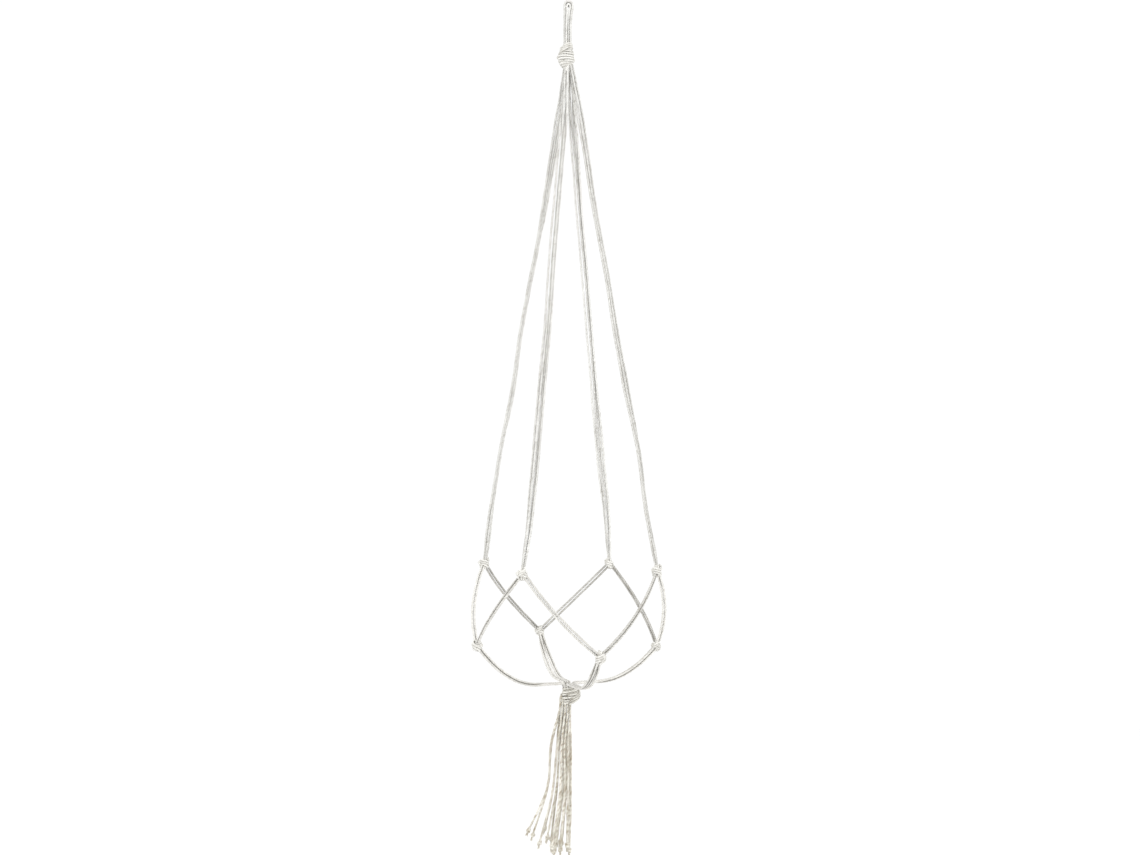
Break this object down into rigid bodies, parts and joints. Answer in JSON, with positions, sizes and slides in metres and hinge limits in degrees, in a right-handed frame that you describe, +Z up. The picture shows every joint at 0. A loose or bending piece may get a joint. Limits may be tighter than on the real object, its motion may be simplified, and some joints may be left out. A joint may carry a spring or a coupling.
{
  "type": "hanging macrame planter",
  "caption": "Knotted cotton cord plant hanger: a hook loop and top knot, straight cord arms, a knotted net that cradles a round pot, and a knotted cord tassel.",
  "frame": {"origin": "where the hook bears, under the top of the loop, on the hanging axis", "axes": "+Z up along the hanging axis; the hook runs along Y through the loop; the tassel leans towards -X"},
  "size_m": [0.237, 0.237, 1.0442],
  "materials": {
    "arm_cotton": "natural cream three-ply cotton cord, matt, slightly fuzzy",
    "knot_cotton": "the same cotton cord pulled tight in knots, with darker creases",
    "net_cotton": "the same cotton cord in pairs and fours round the pot",
    "tassel_cotton": "loose cord ends, a little warmer, each with a small knot"
  },
  "bodies": {
    "loop": {"loop_cord_1": "arm_cotton", "loop_cord_2": "arm_cotton", "loop_cord_3": "arm_cotton", "loop_cord_4": "arm_cotton", "loop_cord_5": "arm_cotton", "loop_cord_6": "arm_cotton", "loop_cord_7": "arm_cotton", "loop_cord_8": "arm_cotton"},
    "hanger": {"top_knot": "knot_cotton"},
    "arm_1": {"arm_1_cords_a": "arm_cotton", "arm_1_cords_b": "arm_cotton", "upper_knot_1": "knot_cotton"},
    "arm_2": {"arm_2_cords_a": "arm_cotton", "arm_2_cords_b": "arm_cotton", "upper_knot_2": "knot_cotton"},
    "arm_3": {"arm_3_cords_a": "arm_cotton", "arm_3_cords_b": "arm_cotton", "upper_knot_3": "knot_cotton"},
    "arm_4": {"arm_4_cords_a": "arm_cotton", "arm_4_cords_b": "arm_cotton", "upper_knot_4": "knot_cotton"},
    "net_1a": {"net_cords_1a": "net_cotton"},
    "net_1b": {"net_cords_1b": "net_cotton"},
    "net_2a": {"net_cords_2a": "net_cotton"},
    "net_2b": {"net_cords_2b": "net_cotton"},
    "net_3a": {"net_cords_3a": "net_cotton"},
    "net_3b": {"net_cords_3b": "net_cotton"},
    "net_4a": {"net_cords_4a": "net_cotton"},
    "net_4b": {"net_cords_4b": "net_cotton"},
    "lower_knot_1": {"lower_knot_1": "knot_cotton"},
    "lower_knot_2": {"lower_knot_2": "knot_cotton"},
    "lower_knot_3": {"lower_knot_3": "knot_cotton"},
    "lower_knot_4": {"lower_knot_4": "knot_cotton"},
    "leg_upper_1": {"leg_upper_1": "net_cotton"},
    "leg_lower_1": {"leg_lower_1": "net_cotton"},
    "leg_upper_2": {"leg_upper_2": "net_cotton"},
    "leg_lower_2": {"leg_lower_2": "net_cotton"},
    "leg_upper_3": {"leg_upper_3": "net_cotton"},
    "leg_lower_3": {"leg_lower_3": "net_cotton"},
    "leg_upper_4": {"leg_upper_4": "net_cotton"},
    "leg_lower_4": {"leg_lower_4": "net_cotton"},
    "gather": {"gather_knot": "knot_cotton"},
    "tassel": {"tassel_cord_1": "tassel_cotton", "tassel_cord_2": "tassel_cotton", "tassel_cord_3": "tassel_cotton", "tassel_cord_4": "tassel_cotton", "tassel_cord_5": "tassel_cotton", "tassel_cord_6": "tassel_cotton", "tassel_cord_7": "tassel_cotton", "tassel_cord_8": "tassel_cotton", "tassel_cord_9": "tassel_cotton", "tassel_cord_10": "tassel_cotton", "tassel_cord_11": "tassel_cotton", "tassel_cord_12": "tassel_cotton", "tassel_cord_13": "tassel_cotton", "tassel_cord_14": "tassel_cotton", "tassel_cord_15": "tassel_cotton", "tassel_cord_16": "tassel_cotton"}
  },
  "joints": [
    {"name": "hanger_twist", "type": "hinge", "parent": "loop", "child": "hanger", "pos_m": [0, 0, -0.0493], "axis": [0, 0, 1], "range_deg": [-180, 180], "stiffness_Nm_per_rad": 0.004},
    {"name": "cradle_close", "type": "hinge", "parent": "hanger", "child": "arm_1", "pos_m": [0.00287, 0.00572, -0.07825], "axis": [-0.8942, 0.4478, 0], "range_deg": [0, 9.26]},
    {"name": "arm_2_close", "type": "hinge", "parent": "hanger", "child": "arm_2", "pos_m": [-0.00572, 0.00287, -0.07825], "axis": [-0.4478, -0.8942, 0], "range_deg": [0, 9.38]},
    {"name": "arm_3_close", "type": "hinge", "parent": "hanger", "child": "arm_3", "pos_m": [-0.00287, -0.00572, -0.07825], "axis": [0.8942, -0.4478, 0], "range_deg": [0, 9.39]},
    {"name": "arm_4_close", "type": "hinge", "parent": "hanger", "child": "arm_4", "pos_m": [0.00572, -0.00287, -0.07825], "axis": [0.4478, 0.8942, 0], "range_deg": [0, 9.37]},
    {"name": "net_1a_close", "type": "hinge", "parent": "arm_1", "child": "net_1a", "pos_m": [0.05029, 0.10734, -0.6966], "axis": [0.3103, -0.9384, -0.1523], "range_deg": [0, 45.34]},
    {"name": "net_2a_close", "type": "hinge", "parent": "arm_2", "child": "net_2a", "pos_m": [-0.10734, 0.05029, -0.692], "axis": [0.9364, 0.3174, -0.1499], "range_deg": [0, 44.34]},
    {"name": "net_3a_close", "type": "hinge", "parent": "arm_3", "child": "net_3a", "pos_m": [-0.05029, -0.10734, -0.6912], "axis": [-0.3254, 0.9341, -0.1466], "range_deg": [0, 43.02]},
    {"name": "net_4a_close", "type": "hinge", "parent": "arm_4", "child": "net_4a", "pos_m": [0.10734, -0.05029, -0.6926], "axis": [-0.9322, -0.3324, -0.1433], "range_deg": [0, 41.81]},
    {"name": "net_1b_close", "type": "hinge", "parent": "arm_1", "child": "net_1b", "pos_m": [0.05583, 0.10457, -0.6966], "axis": [0.9429, 0.2994, 0.1458], "range_deg": [0, 42.81]},
    {"name": "net_2b_close", "type": "hinge", "parent": "arm_2", "child": "net_2b", "pos_m": [-0.10457, 0.05583, -0.692], "axis": [-0.3051, 0.9405, 0.1492], "range_deg": [0, 44.06]},
    {"name": "net_3b_close", "type": "hinge", "parent": "arm_3", "child": "net_3b", "pos_m": [-0.05583, -0.10457, -0.6912], "axis": [-0.9405, -0.3053, 0.1494], "range_deg": [0, 44.12]},
    {"name": "net_4b_close", "type": "hinge", "parent": "arm_4", "child": "net_4b", "pos_m": [0.10457, -0.05583, -0.6926], "axis": [0.3015, -0.942, 0.1475], "range_deg": [0, 43.39]},
    {"name": "lower_knot_1_level", "type": "hinge", "parent": "net_1a", "child": "lower_knot_1", "pos_m": [-0.03367, 0.11105, -0.7791], "axis": [-0.1495, 0.9828, 0.1089], "range_deg": [0, 39.41]},
    {"name": "lower_knot_2_level", "type": "hinge", "parent": "net_2a", "child": "lower_knot_2", "pos_m": [-0.11105, -0.03367, -0.7781], "axis": [-0.9826, -0.152, 0.1068], "range_deg": [0, 38.33]},
    {"name": "lower_knot_3_level", "type": "hinge", "parent": "net_3a", "child": "lower_knot_3", "pos_m": [0.03367, -0.11105, -0.7821], "axis": [0.1551, -0.9824, 0.1041], "range_deg": [0, 36.96]},
    {"name": "lower_knot_4_level", "type": "hinge", "parent": "net_4a", "child": "lower_knot_4", "pos_m": [0.11105, 0.03367, -0.7881], "axis": [0.9822, 0.1578, 0.1015], "range_deg": [0, 35.73]},
    {"name": "leg_1_drop", "type": "hinge", "parent": "lower_knot_1", "child": "leg_upper_1", "pos_m": [-0.03662, 0.11007, -0.7821], "axis": [0.9489, 0.3156, 0], "range_deg": [0, 58.47]},
    {"name": "leg_1_straighten", "type": "hinge", "parent": "leg_upper_1", "child": "leg_lower_1", "pos_m": [-0.0227, 0.06824, -0.8232], "axis": [-0.9489, -0.3156, 0], "range_deg": [0, 14.28]},
    {"name": "gather_level", "type": "hinge", "parent": "leg_lower_1", "child": "gather", "pos_m": [-0.00278, 0.00835, -0.832], "axis": [-0.9489, -0.3156, 0], "range_deg": [0, 44.24]},
    {"name": "leg_2_drop", "type": "hinge", "parent": "lower_knot_2", "child": "leg_upper_2", "pos_m": [-0.11007, -0.03662, -0.7811], "axis": [-0.3156, 0.9489, 0], "range_deg": [0, 56.45]},
    {"name": "leg_2_straighten", "type": "hinge", "parent": "leg_upper_2", "child": "leg_lower_2", "pos_m": [-0.06824, -0.0227, -0.82302], "axis": [0.3156, -0.9489, 0], "range_deg": [0, 10.82]},
    {"name": "leg_3_drop", "type": "hinge", "parent": "lower_knot_3", "child": "leg_upper_3", "pos_m": [0.03662, -0.11007, -0.7851], "axis": [-0.9489, -0.3156, 0], "range_deg": [0, 59.57]},
    {"name": "leg_3_straighten", "type": "hinge", "parent": "leg_upper_3", "child": "leg_lower_3", "pos_m": [0.0227, -0.06824, -0.82373], "axis": [0.9489, 0.3156, 0], "range_deg": [0, 13.84]},
    {"name": "leg_4_drop", "type": "hinge", "parent": "lower_knot_4", "child": "leg_upper_4", "pos_m": [0.11007, 0.03662, -0.7911], "axis": [0.3156, -0.9489, 0], "range_deg": [0, 65.63]},
    {"name": "leg_4_straighten", "type": "hinge", "parent": "leg_upper_4", "child": "leg_lower_4", "pos_m": [0.06824, 0.0227, -0.82478], "axis": [-0.3156, 0.9489, 0], "range_deg": [0, 20.76]},
    {"name": "tassel_swing", "type": "hinge", "parent": "gather", "child": "tassel", "pos_m": [0.0005, 0, -0.84515], "axis": [0, 1, 0], "range_deg": [-25, 25]}
  ],
  "couplings": [
    {"joint": "arm_2_close", "follows": "cradle_close", "ratio": 1.0074},
    {"joint": "arm_3_close", "follows": "cradle_close", "ratio": 1.0087},
    {"joint": "arm_4_close", "follows": "cradle_close", "ratio": 1.0064},
    {"joint": "net_1a_close", "follows": "cradle_close", "ratio": 4.8894},
    {"joint": "net_2a_close", "follows": "cradle_close", "ratio": 4.7818},
    {"joint": "net_3a_close", "follows": "cradle_close", "ratio": 4.6399},
    {"joint": "net_4a_close", "follows": "cradle_close", "ratio": 4.5091},
    {"joint": "net_1b_close", "follows": "cradle_close", "ratio": 4.6163},
    {"joint": "net_2b_close", "follows": "cradle_close", "ratio": 4.7513},
    {"joint": "net_3b_close", "follows": "cradle_close", "ratio": 4.7583},
    {"joint": "net_4b_close", "follows": "cradle_close", "ratio": 4.679},
    {"joint": "lower_knot_1_level", "follows": "cradle_close", "ratio": 4.2494},
    {"joint": "lower_knot_2_level", "follows": "cradle_close", "ratio": 4.1329},
    {"joint": "lower_knot_3_level", "follows": "cradle_close", "ratio": 3.9854},
    {"joint": "lower_knot_4_level", "follows": "cradle_close", "ratio": 3.8519},
    {"joint": "leg_1_drop", "follows": "cradle_close", "ratio": 6.3075},
    {"joint": "leg_1_straighten", "follows": "cradle_close", "ratio": 1.5367},
    {"joint": "gather_level", "follows": "cradle_close", "ratio": 4.7708},
    {"joint": "leg_2_drop", "follows": "cradle_close", "ratio": 6.0895},
    {"joint": "leg_2_straighten", "follows": "cradle_close", "ratio": 1.1631},
    {"joint": "leg_3_drop", "follows": "cradle_close", "ratio": 6.4265},
    {"joint": "leg_3_straighten", "follows": "cradle_close", "ratio": 1.4885},
    {"joint": "leg_4_drop", "follows": "cradle_close", "ratio": 7.0803},
    {"joint": "leg_4_straighten", "follows": "cradle_close", "ratio": 2.2358}
  ]
}
